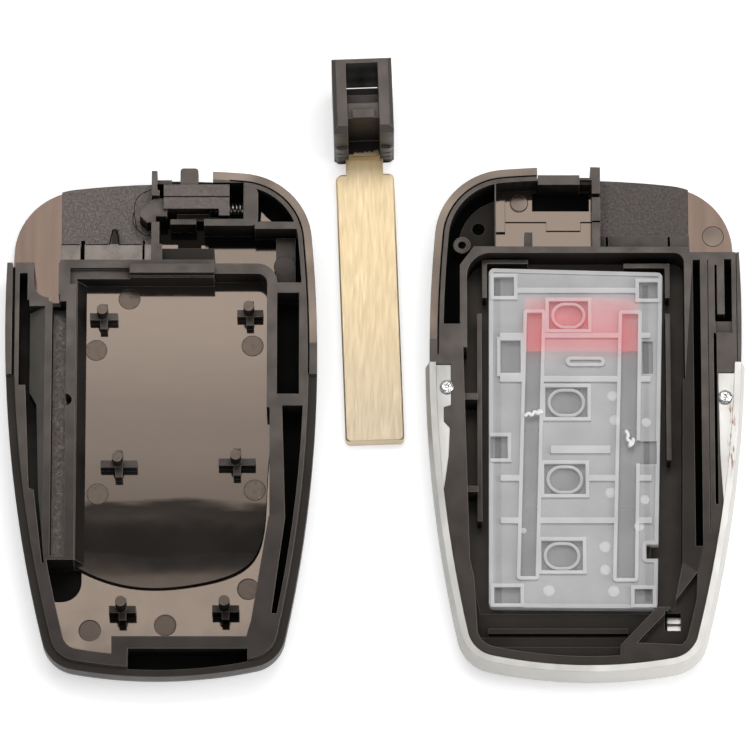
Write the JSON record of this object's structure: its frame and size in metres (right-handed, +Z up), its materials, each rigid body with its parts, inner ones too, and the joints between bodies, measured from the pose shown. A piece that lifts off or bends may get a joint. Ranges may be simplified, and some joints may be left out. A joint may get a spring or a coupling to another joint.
{
  "type": "key fob shell",
  "caption": "Moulded key fob shell laid open, with translucent keypad, push buttons, sprung latch, silver edge trim and a blank emergency key.",
  "frame": {"origin": "middle of the layout's bounding box, at its base, which is the table that the pieces lie on", "axes": "+X to the right of the picture, from the back half to the front half; +Y away from the viewer, towards the crown of each half; +Z up from the table"},
  "size_m": [0.1106, 0.095, 0.014],
  "materials": {
    "black_plastic": "moulded, part polished and part fine-grained",
    "button_plastic": "satin",
    "red_plastic": "satin",
    "clear_silicone": "translucent, satin",
    "silver_trim": "satin silver plating",
    "gold_blade": "fine vertical brushing",
    "spring_steel": "drawn wire"
  },
  "bodies": {
    "shell": {"back_cover": "black_plastic", "front_cover": "black_plastic", "silver_trim": "silver_trim", "keypad_pad": "clear_silicone", "key_head": "black_plastic", "key_blade": "gold_blade", "latch_spring": "spring_steel"},
    "latch": {"latch_slider": "black_plastic"},
    "button_panic": {"button_panic": "red_plastic"},
    "button_trunk": {"button_trunk": "button_plastic"},
    "button_unlock": {"button_unlock": "button_plastic"},
    "button_lock": {"button_lock": "button_plastic"}
  },
  "joints": [
    {"name": "latch_slide", "type": "slide", "parent": "shell", "child": "latch", "axis": [1, 0, 0], "range_m": [0, 0.0018], "stiffness_N_per_m": 250, "springref_m": -0.002, "deforming": ["latch_spring"]},
    {"name": "panic_press", "type": "slide", "parent": "shell", "child": "button_panic", "axis": [0, 0, 1], "range_m": [0, 0.0005], "stiffness_N_per_m": 1500, "springref_m": -0.0002},
    {"name": "trunk_press", "type": "slide", "parent": "shell", "child": "button_trunk", "axis": [0, 0, 1], "range_m": [0, 0.0005], "stiffness_N_per_m": 1500, "springref_m": -0.0002},
    {"name": "unlock_press", "type": "slide", "parent": "shell", "child": "button_unlock", "axis": [0, 0, 1], "range_m": [0, 0.0005], "stiffness_N_per_m": 1500, "springref_m": -0.0002},
    {"name": "lock_press", "type": "slide", "parent": "shell", "child": "button_lock", "axis": [0, 0, 1], "range_m": [0, 0.0005], "stiffness_N_per_m": 1500, "springref_m": -0.0002}
  ]
}
